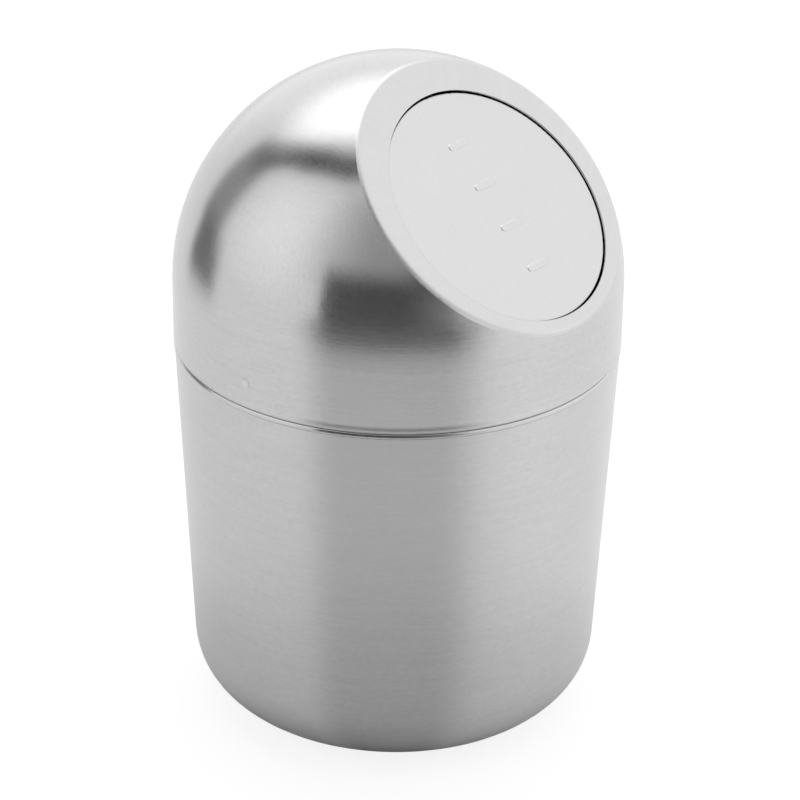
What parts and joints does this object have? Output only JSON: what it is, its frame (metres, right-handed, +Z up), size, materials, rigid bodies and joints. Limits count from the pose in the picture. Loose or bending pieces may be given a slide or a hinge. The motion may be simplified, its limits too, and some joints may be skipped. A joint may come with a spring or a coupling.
{
  "type": "swing top waste basket",
  "caption": "Small round stainless steel bin with a tapered can, a lift-off domed lid and a counterweighted round flap that swings in a slanted flat on the dome.",
  "frame": {"origin": "on the floor, under the middle of the can", "axes": "+Z up; the slanted flat with the flap faces -Y; the flap's axle runs along X"},
  "size_m": [0.12, 0.12, 0.1836],
  "materials": {
    "can_steel": "brushed round the can, satin",
    "lid_steel": "brushed round the dome, satin",
    "flap_steel": "fine satin",
    "inner_steel": "plain rolled sheet",
    "rod_steel": "bright drawn bar and plated fasteners",
    "bush_plastic": "natural nylon",
    "foot_rubber": "matt soft rubber"
  },
  "bodies": {
    "can": {"can_body": "can_steel", "foot_ring": "foot_rubber"},
    "lid": {"dome_lid": "lid_steel", "lid_collar": "inner_steel", "hinge_ear_left": "inner_steel", "hinge_ear_right": "inner_steel", "ear_bush_left": "bush_plastic", "ear_bush_right": "bush_plastic"},
    "flap": {"swing_flap": "flap_steel", "axle_rod": "rod_steel", "axle_clip_left": "rod_steel", "axle_clip_right": "rod_steel", "weight_arm_left": "inner_steel", "weight_arm_right": "inner_steel", "counterweight_bar": "rod_steel", "weight_screw_left": "rod_steel", "weight_screw_right": "rod_steel"}
  },
  "joints": [
    {"name": "lid_lift", "type": "slide", "parent": "can", "child": "lid", "axis": [0, 0, 1], "range_m": [0, 0.06]},
    {"name": "flap_swing", "type": "hinge", "parent": "lid", "child": "flap", "pos_m": [0, -0.02929, 0.14939], "axis": [1, 0, 0], "range_deg": [-80, 80]}
  ]
}
